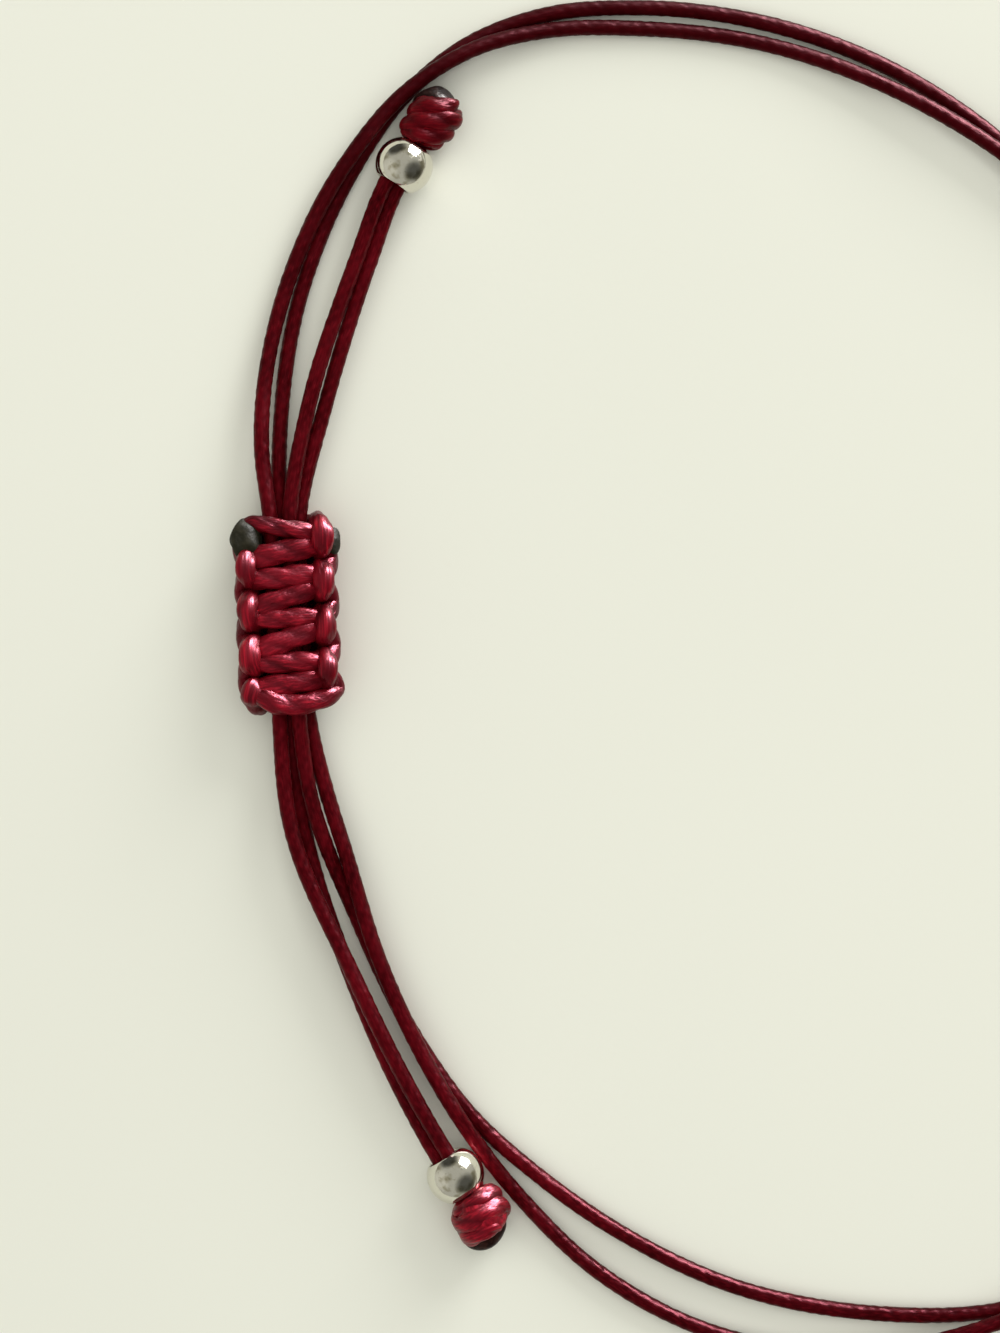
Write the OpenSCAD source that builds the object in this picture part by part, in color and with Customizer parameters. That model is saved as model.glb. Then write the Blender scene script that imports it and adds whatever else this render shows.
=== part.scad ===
// Cord bracelet with a sliding square knot and two beaded pull tails, lying flat, in millimetres.
// X runs across the loop, Y along it and Z up. The loop lies on z = 0 round the origin.

/* [Cord] */
// Thickness of the two long cords
cord_d = 0.96; // [0.9:0.02:0.96]
// Distance from one ring of a cord's tube to the next
ring_gap = 3.9; // [3.9:0.1:5]

/* [Sliding knot] */
// Thickness of the knotting cord where it runs round the knot's sides
knot_cord_d = 0.92; // [0.8:0.02:0.92]
// Width of its bars, which the knot presses flat, for each millimetre of thickness
bar_spread = 1.25; // [1:0.05:1.25]
// Width of the bumps over the bars' ends, for each millimetre of thickness
bump_spread = 1.4; // [1:0.05:1.4]
// Number of bars across the knot's front
bar_count = 9; // [9:2:9]
// Distance from one bar to the next
bar_pitch = 1.36; // [1.3:0.01:1.4]
// Rise of the knot's right side over its left, for each millimetre across
bar_skew = 0.09; // [0.04:0.01:0.12]

/* [Beads] */
// Diameter of each bead
bead_d = 3.6; // [3.2:0.1:3.6]
// Diameter of the hole through each bead
bead_hole_d = 2.1; // [2.1:0.05:2.4]

/* [End knots] */
// Distance from a bead's centre to the centre of its end knot
end_knot_reach = 3.3; // [3.3:0.05:3.5]
// Thickness of the two strands lying together in an end knot
wrap_d = 1.5; // [1.3:0.05:1.5]
// Radius of the wraps' centre line
wrap_r = 1.0; // [0.9:0.05:1.0]

/* [Hidden] */

cord_red = [0.36, 0.02, 0.06];
knot_red = [0.55, 0.04, 0.10];
melted_brown = [0.12, 0.08, 0.06];
silver = [0.80, 0.80, 0.78];

cord_sides = 8;
ball_sides = 8;
fine = 48;

// The sliding knot's centre, its lean to the left and the spread of the four strands in it
knot_at = [-29.1, 3.85, 1.86];
knot_lean = 2.3;

// Each bead's centre and the way its hole points, from +Y towards +X, to its end knot
upper_bead_at = [-21.9, 32.0, bead_d / 2];
upper_hole_turn = 32;
lower_bead_at = [-18.7, -30.8, bead_d / 2];
lower_hole_turn = 147;

// Route of the first cord: upper end knot, bead, tail, sliding knot, round the loop, sliding knot,
// lower tail, bead, lower end knot
FIRST_ROUTE = [
    [-21.35, 33.6, 2.15], [-23, 30.95, 2.15], [-24.75, 26.4, 2.15], [-27.8, 17.1, 2.15],
    [-29, 9.95, 2.28], [-28.75, 4.05, 2.28], [-28.45, -1.85, 2.28], [-27.65, -7.45, 1.9],
    [-24.8, -15, 0.6], [-20.95, -22.8, 0.5], [-17.55, -27.4, 0.5],
    [-13.75, -30.8, 0.5], [-8.45, -34.5, 0.5], [-1.55, -37.8, 0.5], [7.2, -39.55, 0.5],
    [15.3, -39.35, 0.5], [21.8, -37.3, 0.5], [26.45, -31.55, 0.5], [29.75, -23.95, 0.5],
    [32.15, -11.25, 0.5], [31.55, 3.75, 0.5], [28.25, 17.1, 0.5], [23.2, 26, 1.15],
    [17.65, 31.05, 1.55], [12.7, 34.55, 1.45], [0.3, 39.8, 0.5], [-7.2, 40.7, 0.5],
    [-12.8, 40.55, 0.8], [-17.5, 39.3, 1.5], [-21.55, 36.8, 1.55], [-25.6, 32.05, 1.45],
    [-29.35, 24.2, 1.1], [-30.75, 14.3, 1.9], [-30.2, 9.95, 2.28], [-29.95, 4.05, 2.28],
    [-29.65, -1.85, 2.28], [-28.95, -9, 2.25], [-25.05, -18.3, 2.25], [-19.25, -29.3, 2.15],
    [-17.55, -31.9, 2.15],
];

// Route of the second cord, the same way round
SECOND_ROUTE = [
    [-20.7, 33.2, 1.45], [-22.35, 30.55, 1.45], [-24, 26.15, 1.45], [-26.8, 17.15, 1.35],
    [-28.45, 9.95, 1.46], [-28.2, 4.05, 1.46], [-27.9, -1.85, 1.46], [-26.6, -7.45, 1.35],
    [-25.7, -10.25, 1.5], [-23.4, -17.55, 1.6], [-21.1, -22.7, 1.5], [-18.45, -27.3, 1.35],
    [-14.8, -32.15, 0.7], [-9.7, -37.05, 0.5], [-2.2, -40.9, 0.5], [5.3, -42, 0.8],
    [11.75, -41.05, 1.4], [17.35, -38.9, 1.55], [23, -34.3, 1], [27.2, -27.7, 0.5],
    [31.05, -11.1, 0.5], [30.45, 3.6, 0.5], [27.2, 16.6, 0.5],
    [22.4, 25.3, 0.5], [14.4, 34.4, 0.5], [7.2, 38.8, 0.5],
    [-7.2, 42, 0.5], [-13.1, 41.55, 0.5], [-17.8, 39.8, 0.5], [-21.7, 36.7, 0.5],
    [-25.3, 31.55, 0.5], [-28.3, 24.4, 0.5], [-29.7, 14.35, 1.1], [-29.65, 9.95, 1.46],
    [-29.4, 4.05, 1.46], [-29.1, -1.85, 1.46], [-28.2, -9.05, 1.15], [-25.25, -18.4, 1.15],
    [-19.8, -29.75, 1.45], [-18.15, -32.35, 1.45],
];

// Half of a front bar, from its middle to the U turn that it ends in: across, along, height
BAR_HALF = [
    [0, 0, 1.38], [1.1, -0.1, 1.37], [1.85, -0.2, 1.14], [2.4, -0.1, 0.85], [2.75, bar_pitch / 2, 0.4],
];
// Half of a back bar, from its middle round the side to the middle of the bump in front
WRAP_HALF = [
    [0, 0, -1.38], [1.25, -0.12, -1.38], [1.95, -0.28, -0.85], [2.08, -0.3, 0],
    [2.12, -0.22, 0.85], [2.35, 0.1, 1.5], [2.42, bar_pitch / 2, 1.78],
];
// The knotting cord's middle, the loose bar at the knot's foot, from its right end to its left
FOOT_BAR = [[2.2, 0.25, 1.1], [1.2, 0.12, 1.38], [0, 0.12, 1.45], [-1.1, 0.22, 1.5], [-1.95, 0.5, 1.6]];
// The knotting cord's two ends at the knot's head, front cord and back cord
FRONT_END = [[2.35, -0.35, 0.85], [2.85, -0.7, 0.8]];
BACK_END = [[-2.0, -0.25, 0.75], [-2.6, -0.3, 0.95]];

// Smooth curve through a route
function unit(v) = v / norm(v);
function span(p, i) = norm(p[i + 1] - p[i]);
function slope(p, i) = (p[i + 1] - p[i]) / span(p, i);
function tangent(p, i) =
    i == 0 ? slope(p, 0)
    : i == len(p) - 1 ? slope(p, i - 1)
    : (slope(p, i - 1) * span(p, i) + slope(p, i) * span(p, i - 1)) / (span(p, i - 1) + span(p, i));
function on_span(p, i, t) =
    (2 * t ^ 3 - 3 * t ^ 2 + 1) * p[i] + (t ^ 3 - 2 * t ^ 2 + t) * span(p, i) * tangent(p, i)
    + (3 * t ^ 2 - 2 * t ^ 3) * p[i + 1] + (t ^ 3 - t ^ 2) * span(p, i) * tangent(p, i + 1);
function smooth(p, gap) = [
    for (i = [0 : len(p) - 2])
        let (steps = max(1, round(span(p, i) / gap)))
        for (k = [0 : steps - 1]) on_span(p, i, k / steps),
    p[len(p) - 1],
];

// Ring of points round a centre line, flats to the sides and one below
function ring(c, along, r) =
    let (side = unit(cross([0, 0, 1], along)), up = cross(along, side))
    [for (k = [0 : cord_sides - 1])
        let (a = 360 * (k + 0.5) / cord_sides)
        c + r * (cos(a) * side + sin(a) * up)];

// Curve that nowhere dips below a cord's own radius
function laid(curve, r) = [for (p = curve) [p.x, p.y, max(p.z, r)]];

// Closed tube swept along a curve
module tube(curve, d) {
    last = len(curve) - 1;
    n = cord_sides;
    rings = [
        for (i = [0 : last])
            ring(curve[i], unit(curve[min(i + 1, last)] - curve[max(i - 1, 0)]), d / 2),
    ];
    walls = [
        for (i = [0 : last - 1], k = [0 : n - 1])
            [i * n + k, (i + 1) * n + k, (i + 1) * n + (k + 1) % n, i * n + (k + 1) % n],
    ];
    foot = [for (k = [0 : n - 1]) k];
    head = [for (k = [n - 1 : -1 : 0]) last * n + k];
    polyhedron(points = [for (r = rings) each r], faces = [foot, each walls, head]);
}

// Strand of overlapping lumps, free to turn any way and to press against itself
module strand(curve, sizes) {
    for (i = [0 : len(curve) - 2])
        hull() {
            translate(curve[i]) scale(sizes[i]) sphere(d = 1, $fn = ball_sides);
            translate(curve[i + 1]) scale(sizes[i + 1]) sphere(d = 1, $fn = ball_sides);
        }
}

// Points of a half bar moved to one side of the knot, at a height along it
function placed(half, side, along, turn) = [for (q = half) [side * q.x, along + turn * q.y, q.z]];
function reversed(p) = [for (i = [len(p) - 1 : -1 : 0]) p[i]];
function without_first(p) = [for (i = [1 : len(p) - 1]) p[i]];
// A whole bar that leaves the knot's middle towards one side, a half turn of itself
function whole_bar(half, side, along) = concat(
    reversed(without_first(placed(half, -side, along, -1))), placed(half, side, along, 1));
function along_of(bar) = ((bar_count - 1) / 2 - bar) * bar_pitch;
// Bars number from the head, 0, to the foot; odd ones leave to the left going up
function leaving(bar) = bar % 2 == 1 ? -1 : 1;

front_cord = [
    each placed(FOOT_BAR, 1, along_of(bar_count - 1), 1),
];

// The front cord climbs bar by bar, so each bar starts after the U turn that the last one ended in
front_climb = [
    for (bar = [bar_count - 2 : -1 : 1]) each without_first(whole_bar(BAR_HALF, leaving(bar), along_of(bar))),
];
head_bar = whole_bar(BAR_HALF, 1, along_of(0));
front_head = concat([for (i = [1 : len(head_bar) - 3]) head_bar[i]], placed(FRONT_END, 1, along_of(0), 1));
foot_turn = [2.85, along_of(bar_count - 1) + bar_pitch / 2, 0.4];

// The back cord winds behind, from one side's bump to the other side's
back_climb = [
    for (bar = [bar_count - 2 : -1 : 1]) each without_first(whole_bar(WRAP_HALF, -leaving(bar), along_of(bar))),
];
head_wrap = whole_bar(WRAP_HALF, -1, along_of(0));
back_head = concat([for (i = [1 : len(WRAP_HALF) + 2]) head_wrap[i]], placed(BACK_END, 1, along_of(0), 1));
foot_bump = [-2.42, along_of(bar_count - 1) + bar_pitch / 2, 1.78];

knotting_route = concat(
    reversed(concat([foot_turn], front_climb, front_head)),
    front_cord,
    [foot_bump],
    back_climb,
    back_head);

function skewed(p) = [for (q = p) [q.x, q.y + bar_skew * q.x, q.z]];
// The knot presses its cord wide on the front and the back, and leaves it narrow round the sides
function pressed(p) = [
    for (q = p)
        let (face = min(1, abs(q.z) / face_height))
        knot_cord_d * [1 + (bump_spread - 1) * face, bar_spread, 1 - face / 10],
];

module place_knot() {
    translate(knot_at) rotate(knot_lean) children();
}

module place_on_tail(at, turn, reach) {
    translate(at) rotate(-turn) translate([0, reach, 0]) children();
}

module first_cord() {
    color(cord_red) tube(laid(smooth(FIRST_ROUTE, ring_gap), cord_d / 2), cord_d);
}

module second_cord() {
    color(cord_red) tube(laid(smooth(SECOND_ROUTE, ring_gap), cord_d / 2), cord_d);
}

// The cut ends of the knotting cord, melted into a flat blob on the left and a small tip on the right
melt_at = [-2.7, along_of(0) - 0.4, 1.0];
melt_size = [1.7, 2.6, 1.3];
tip_at = [3.0, along_of(0) - 0.5, 0.8];
tip_d = 0.95;

// Height above the knot's middle from which the cord lies on its front or back
face_height = 1.3;
knotting_curve = smooth(skewed(knotting_route), 0.75);

module sliding_knot() {
    color(knot_red) place_knot() union() {
        strand(knotting_curve, pressed(knotting_curve));
        translate(melt_at) scale(melt_size) sphere(d = 1, $fn = ball_sides);
        translate(tip_at) sphere(d = tip_d, $fn = ball_sides);
    }
}

module bead() {
    difference() {
        sphere(d = bead_d, $fn = fine);
        rotate([90, 0, 0]) cylinder(h = 2 * bead_d, d = bead_hole_d, center = true, $fn = fine);
    }
}

module upper_bead() {
    color(silver) place_on_tail(upper_bead_at, upper_hole_turn, 0) bead();
}

module lower_bead() {
    color(silver) place_on_tail(lower_bead_at, lower_hole_turn, 0) bead();
}

// The paired strands wound round their own stem, tucked in at both ends, with a melted cap
wrap_turns = 2.25;
wrap_advance = 0.78;
wrap_steps = 28;
wrap_start = 60;
wrap_tilt = 25;
wrap_tuck = 0.45;
stem_d = 1.9;
stem_l = end_knot_reach - bead_d / 2 + 0.05;
cap_d = 2.6;
cap_l = 1.5;
cap_at = 1.15;

module end_knot() {
    wraps = [
        for (i = [0 : wrap_steps])
            let (
                part = 2 * i / wrap_steps - 1,
                turns = wrap_turns * part / 2,
                a = 360 * turns + wrap_start,
                r = wrap_r * (1 - wrap_tuck * part ^ 6))
            [r * cos(a), wrap_advance * turns + r * sin(wrap_tilt) * cos(a), r * sin(a)],
    ];
    union() {
        strand(wraps, [for (w = wraps) wrap_d * [1, 1, 1]]);
        rotate([90, 0, 0]) cylinder(h = stem_l, d = stem_d, $fn = ball_sides);
        translate([0, cap_at, 0]) scale([1, cap_l / cap_d, 1]) sphere(d = cap_d, $fn = ball_sides);
    }
}

module upper_end_knot() {
    color(knot_red) place_on_tail(upper_bead_at, upper_hole_turn, end_knot_reach) end_knot();
}

module lower_end_knot() {
    color(knot_red) place_on_tail(lower_bead_at, lower_hole_turn, end_knot_reach) end_knot();
}

first_cord();
second_cord();
sliding_knot();
upper_bead();
lower_bead();
upper_end_knot();
lower_end_knot();
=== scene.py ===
"""Cord bracelet: two waxed cords, a sliding square knot, two drilled beads and two end knots.

The bracelet lies flat on a pale floor and is seen from straight above. Lengths are in metres
where nothing else is said.
"""
import logging
import math
from collections.abc import Callable
from dataclasses import dataclass
from enum import Enum
from typing import Any

import bpy
import numpy as np
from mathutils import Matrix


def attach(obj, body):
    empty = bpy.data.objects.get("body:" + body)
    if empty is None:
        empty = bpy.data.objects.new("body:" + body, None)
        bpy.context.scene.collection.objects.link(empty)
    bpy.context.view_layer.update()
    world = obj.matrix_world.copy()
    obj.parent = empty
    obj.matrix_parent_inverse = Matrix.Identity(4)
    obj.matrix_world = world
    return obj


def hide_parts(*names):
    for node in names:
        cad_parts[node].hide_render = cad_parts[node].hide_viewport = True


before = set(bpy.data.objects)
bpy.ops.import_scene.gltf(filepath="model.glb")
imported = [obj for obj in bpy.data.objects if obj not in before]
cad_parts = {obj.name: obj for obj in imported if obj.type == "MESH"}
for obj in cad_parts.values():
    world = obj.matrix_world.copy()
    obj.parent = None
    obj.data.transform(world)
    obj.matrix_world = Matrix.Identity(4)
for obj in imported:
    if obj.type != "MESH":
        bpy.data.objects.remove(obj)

log = logging.getLogger("cord_bracelet")
Array = np.ndarray
Material = bpy.types.Material
Vector = tuple[float, float, float]
Colour = tuple[float, float, float, float]
Carry = Callable[[Array], Array]
MM = 0.001
BODY = "root"
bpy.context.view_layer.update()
CORD_R = 0.48 * MM

# Route of the first cord, in millimetres: upper end knot, bead, tail, sliding knot, round the loop,
# sliding knot, lower tail, bead, lower end knot
FIRST_ROUTE = MM * np.array([
    (-21.35, 33.6, 2.15), (-23, 30.95, 2.15), (-24.75, 26.4, 2.15), (-27.8, 17.1, 2.15),
    (-29, 9.95, 2.28), (-28.75, 4.05, 2.28), (-28.45, -1.85, 2.28), (-27.65, -7.45, 1.9),
    (-24.8, -15, 0.6), (-20.95, -22.8, 0.5), (-17.55, -27.4, 0.5), (-13.75, -30.8, 0.5),
    (-8.45, -34.5, 0.5), (-1.55, -37.8, 0.5), (7.2, -39.55, 0.5), (15.3, -39.35, 0.5),
    (21.8, -37.3, 0.5), (26.45, -31.55, 0.5), (29.75, -23.95, 0.5), (32.15, -11.25, 0.5),
    (31.55, 3.75, 0.5), (28.25, 17.1, 0.5), (23.2, 26, 1.15), (17.65, 31.05, 1.55),
    (12.7, 34.55, 1.45), (0.3, 39.8, 0.5), (-7.2, 40.7, 0.5), (-12.8, 40.55, 0.8),
    (-17.5, 39.3, 1.5), (-21.55, 36.8, 1.55), (-25.6, 32.05, 1.45), (-29.35, 24.2, 1.1),
    (-30.75, 14.3, 1.9), (-30.2, 9.95, 2.28), (-29.95, 4.05, 2.28), (-29.65, -1.85, 2.28),
    (-28.95, -9, 2.25), (-25.05, -18.3, 2.25), (-19.25, -29.3, 2.15), (-17.55, -31.9, 2.15),
])
# Route of the second cord, the same way round, in millimetres
SECOND_ROUTE = MM * np.array([
    (-20.7, 33.2, 1.45), (-22.35, 30.55, 1.45), (-24, 26.15, 1.45), (-26.8, 17.15, 1.35),
    (-28.45, 9.95, 1.46), (-28.2, 4.05, 1.46), (-27.9, -1.85, 1.46), (-26.6, -7.45, 1.35),
    (-25.7, -10.25, 1.5), (-23.4, -17.55, 1.6), (-21.1, -22.7, 1.5), (-18.45, -27.3, 1.35),
    (-14.8, -32.15, 0.7), (-9.7, -37.05, 0.5), (-2.2, -40.9, 0.5), (5.3, -42, 0.8),
    (11.75, -41.05, 1.4), (17.35, -38.9, 1.55), (23, -34.3, 1), (27.2, -27.7, 0.5),
    (31.05, -11.1, 0.5), (30.45, 3.6, 0.5), (27.2, 16.6, 0.5), (22.4, 25.3, 0.5), (14.4, 34.4, 0.5),
    (7.2, 38.8, 0.5), (-7.2, 42, 0.5), (-13.1, 41.55, 0.5), (-17.8, 39.8, 0.5), (-21.7, 36.7, 0.5),
    (-25.3, 31.55, 0.5), (-28.3, 24.4, 0.5), (-29.7, 14.35, 1.1), (-29.65, 9.95, 1.46),
    (-29.4, 4.05, 1.46), (-29.1, -1.85, 1.46), (-28.2, -9.05, 1.15), (-25.25, -18.4, 1.15),
    (-19.8, -29.75, 1.45), (-18.15, -32.35, 1.45),
])


def turned(points: Array, angle: float) -> Array:
    """Turns points about Z.

    Args:
        points: An array (..., 3).
        angle: The angle in radians.

    Returns:
        The turned points.
    """
    c, s = math.cos(angle), math.sin(angle)
    x, y, z = np.moveaxis(points, -1, 0)
    return np.stack([c * x - s * y, s * x + c * y, z], axis=-1)


class Tail(Enum):
    """The bracelet's two pull tails, with their beads' centres and the turn of their holes.

    The turn runs from +Y towards +X, in degrees, and points from the bead to its end knot.
    """

    UPPER = ("upper", (-21.9, 32.0, 1.8), 32.0)
    LOWER = ("lower", (-18.7, -30.8, 1.8), 147.0)

    def __init__(self, label: str, centre: Vector, turn: float) -> None:
        """Keeps the tail's name, bead centre in millimetres and hole direction."""
        self.label = label
        self.centre = np.array(centre) * MM
        self.turn = math.radians(turn)

    def place(self, local: Array) -> Array:
        """Carries points (..., 3) from the tail's axes, y along the hole, to the bracelet's."""
        return turned(local, -self.turn) + self.centre


# Shader expressions


class Signal:
    """A node's output that takes part in arithmetic: each operator adds one Math node."""

    def __init__(self, graph: "Graph", socket: Any) -> None:
        """Wraps a socket of the graph's node tree."""
        self.graph, self.socket = graph, socket

    def _math(self, operation: str, a: Any, b: Any) -> "Signal":
        """Adds a Math node for a two-sided operation."""
        return self.graph.add("Math", {"operation": operation}, {0: a, 1: b})

    def __add__(self, other: Any) -> "Signal":
        """Sum."""
        return self._math("ADD", self, other)

    def __sub__(self, other: Any) -> "Signal":
        """Difference."""
        return self._math("SUBTRACT", self, other)

    def __rsub__(self, other: Any) -> "Signal":
        """Difference from a number."""
        return self._math("SUBTRACT", other, self)

    def __mul__(self, other: Any) -> "Signal":
        """Product."""
        return self._math("MULTIPLY", self, other)

    __radd__ = __add__
    __rmul__ = __mul__

    def clipped(self) -> "Signal":
        """The value kept between 0 and 1."""
        return self.graph.add("Clamp", {}, {"Value": self})

    def eased(self, low: float, high: float) -> "Signal":
        """A smooth step from 0 at low to 1 at high."""
        settings = {"interpolation_type": "SMOOTHSTEP"}
        return self.graph.add("MapRange", settings, {"Value": self, 1: low, 2: high})


class Graph:
    """The node tree of a material or of the world."""

    def __init__(self, owner: Any, shader: str = "BsdfPrincipled", output: str = "OutputMaterial") -> None:
        """Empties the owner's node tree and wires one shader to its output.

        Args:
            owner: The material or world.
            shader: Type of the shader node.
            output: Type of the output node.
        """
        owner.use_nodes = True
        self.owner, self.tree = owner, owner.node_tree
        self.tree.nodes.clear()
        self.shader = self.new(shader)
        end = self.new(output)
        self.tree.links.new(self.shader.outputs[0], end.inputs["Surface"])

    @classmethod
    def finish(cls, name: str) -> "Graph":
        """A new material's graph."""
        return cls(bpy.data.materials.new(name))

    def new(self, kind: str) -> bpy.types.Node:
        """Adds a bare node, whose type is named without its ShaderNode prefix."""
        return self.tree.nodes.new("ShaderNode" + kind)

    def add(self, kind: str, settings: dict[str, Any], inputs: dict[Any, Any],
            output: Any = 0) -> Signal:
        """Adds a node.

        Args:
            kind: The node's type.
            settings: Properties of the node.
            inputs: Values or signals for its sockets, by name or number.
            output: Name or number of the output to give back.

        Returns:
            The chosen output.
        """
        node = self.new(kind)
        for key, value in settings.items():
            setattr(node, key, value)
        for key, value in inputs.items():
            self.feed(node.inputs[key], value)
        return Signal(self, node.outputs[output])

    def feed(self, socket: Any, value: Any) -> None:
        """Links a signal to a socket or sets the socket's value."""
        if isinstance(value, Signal):
            self.tree.links.new(value.socket, socket)
        else:
            socket.default_value = value

    def set(self, **values: Any) -> None:
        """Feeds the shader's sockets; underscores stand for spaces."""
        for key, value in values.items():
            self.feed(self.shader.inputs[key.replace("_", " ")], value)

    def place_mm(self) -> Signal:
        """Object coordinates in millimetres."""
        place = self.add("TexCoord", {}, {}, "Object")
        return self.scaled(place, (1 / MM,) * 3)

    def along(self, around: float, lengthways: float) -> Signal:
        """The strand's own coordinates: turns round it and millimetres along it, each stretched."""
        strand = self.add("UVMap", {"uv_map": "strand"}, {}, "UV")
        return self.scaled(strand, (around, lengthways, 1.0))

    def scaled(self, vector: Signal, factors: Vector) -> Signal:
        """Multiplies a vector by a factor along each axis."""
        return self.add("VectorMath", {"operation": "MULTIPLY"}, {0: vector, 1: factors})

    def y_part(self, vector: Signal) -> Signal:
        """The Y part of a vector."""
        return self.add("SeparateXYZ", {}, {"Vector": vector}, "Y")

    def noise(self, vector: Signal, scale: float, detail: float = 2.0, rough: float = 0.5) -> Signal:
        """Smooth noise between 0 and 1."""
        inputs = {"Vector": vector, "Scale": scale, "Detail": detail, "Roughness": rough}
        return self.add("TexNoise", {}, inputs, "Fac")

    def blend(self, factor: Any, low: Any, high: Any) -> Signal:
        """Mixes two colours."""
        return self.add("Mix", {"data_type": "RGBA"}, {0: factor, 6: low, 7: high}, 2)

    def attribute(self, name: str) -> Signal:
        """A number that the mesh carries on its points."""
        return self.add("Attribute", {"attribute_name": name}, {}, "Fac")

    def bump(self, height: Signal, depth: float) -> Signal:
        """A Bump node's normal, with its depth in metres."""
        inputs = {"Height": height, "Distance": depth, "Strength": 1.0}
        return self.add("Bump", {}, inputs, "Normal")


def rgb(red: float, green: float, blue: float) -> Colour:
    """A linear colour with full alpha."""
    return (red, green, blue, 1.0)


@dataclass(frozen=True)
class WaxedCord:
    """Finish of a waxed cord: fine filaments along it, soft wax gloss and painted shade in the creases.

    Its colours are the darker tone of streaks and patches, which is also painted as shade into the
    creases and along the band's upper part, the cord's body, the ridges' bright red, partly wear and
    partly a painted highlight, and the highlights' sheen. The wear and painted highlight is how
    bright the ridges get. The upper painted shade is how much darker the band is painted along its
    upper part, and the lower shade is how much darker the band is at its foot.
    """

    name: str
    shade: Colour
    body: Colour
    bright: Colour
    roughness: float
    gloss: float
    filament_depth: float
    wear_and_painted_highlight: float = 0.5
    upper_painted_shade: float = 0.75
    lower_shade: float = 0.0
    sheen: Colour = (1.0, 0.20, 0.30, 1.0)

    def make(self) -> Material:
        """Builds the material.

        Streaks, fibres and patches are noise, long or fine along the strand. The colour goes from
        shade to body by the streaks and patches, the cord's own uneven tone, and by the ridges, which
        paints shade into the grooves. It goes on to bright where ridges carry fibres, partly wear and
        partly a painted highlight. The painted shade along the upper part of the band starts past the
        tail that each cord begins with.

        Returns:
            The material.
        """
        g = Graph.finish(self.name)
        here = g.place_mm()
        streaks = g.noise(g.along(5.0, 0.7), 1.0, 3.0, 0.55)
        fibres = g.noise(g.along(26.0, 1.3), 1.0, 2.0, 0.6)
        patches = g.noise(here, 0.35, 2.0)
        y = g.y_part(here)
        past_tail = g.y_part(g.along(1.0, 1.0)).eased(13.0, 20.0)
        # Painted shade: the band is made darker, and its painted highlight weaker, along its upper part
        upper = y.eased(18.0, 36.0) * past_tail * self.upper_painted_shade
        lower = (0.0 - y).eased(30.0, 38.0) * self.lower_shade
        crest = g.attribute("crest")
        # Streaks and patches are the cord's own uneven tone; the crest term is painted shade in the
        # grooves and, on the sliding knot, in its low parts, and the upper factor is painted shade along
        # the band's upper part
        mix = streaks.eased(0.25, 0.75) * 0.45 + patches.eased(0.3, 0.7) * 0.35 + crest * 0.4 - 0.1
        shade_to_body = g.blend(mix.clipped() * (1.0 - upper - lower), self.shade, self.body)
        # Painted highlight, partly wear: ridges that carry fibres turn bright red
        painted_highlight_and_wear = crest * fibres.eased(0.4, 0.75) * self.wear_and_painted_highlight * (1.0 - upper)
        rough = self.roughness + (patches - 0.5) * 0.25 + (fibres - 0.5) * 0.2 + upper * 0.15
        g.set(Base_Color=g.blend(painted_highlight_and_wear, shade_to_body, self.bright), Roughness=rough.clipped())
        g.set(Normal=g.bump(fibres * 0.12 + streaks, self.filament_depth))
        g.set(Specular_IOR_Level=self.gloss, Specular_Tint=self.sheen)
        return g.owner


@dataclass(frozen=True)
class MeltedTip:
    """Finish of a cord end that was melted shut: near black, brown at the edges, part glossy."""

    name: str
    dark: Colour
    brown: Colour
    roughness: float
    gloss: float

    def make(self) -> Material:
        """Builds the finish.

        Returns:
            The material.
        """
        g = Graph.finish(self.name)
        here = g.place_mm()
        clouds = g.noise(here, 1.6, 3.0)
        g.set(Base_Color=g.blend(clouds.eased(0.4, 0.75), self.dark, self.brown))
        g.set(Roughness=(self.roughness + (clouds - 0.5) * 0.3).clipped())
        g.set(Normal=g.bump(g.noise(here, 4.0, 3.0), 0.05 * MM), Specular_IOR_Level=self.gloss)
        return g.owner


@dataclass(frozen=True)
class PolishedSilver:
    """Finish of the beads: bright metal with a faint haze of handling marks."""

    name: str = "polished_silver"
    metal: Colour = rgb(0.68, 0.66, 0.58)
    tarnish: Colour = rgb(0.42, 0.38, 0.30)

    def make(self) -> Material:
        """Builds the finish.

        Returns:
            The material.
        """
        g = Graph.finish(self.name)
        here = g.place_mm()
        haze = g.noise(here, 0.9, 3.0)
        specks = g.noise(here, 3.2, 2.0)
        g.set(Base_Color=g.blend(specks.eased(0.62, 0.74) * 0.5, self.metal, self.tarnish))
        rough = 0.05 + haze * 0.06 + specks.eased(0.6, 0.75) * 0.15
        g.set(Metallic=1.0, Roughness=rough.clipped())
        g.set(Normal=g.bump(haze + specks * 0.3, 0.012 * MM))
        return g.owner


@dataclass(frozen=True)
class PaleFloor:
    """Finish of the floor: matt warm white."""

    name: str = "pale_floor"
    tone: Colour = rgb(0.82, 0.835, 0.755)
    lighter: Colour = rgb(0.8528, 0.8684, 0.7852)

    def make(self) -> Material:
        """Builds the finish.

        Returns:
            The material.
        """
        g = Graph.finish(self.name)
        clouds = g.noise(g.place_mm(), 0.02, 2.0)
        g.set(Base_Color=g.blend(clouds, self.tone, self.lighter))
        g.set(Roughness=0.9, Specular_IOR_Level=0.0)
        return g.owner


# Curves, strands and meshes


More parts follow.
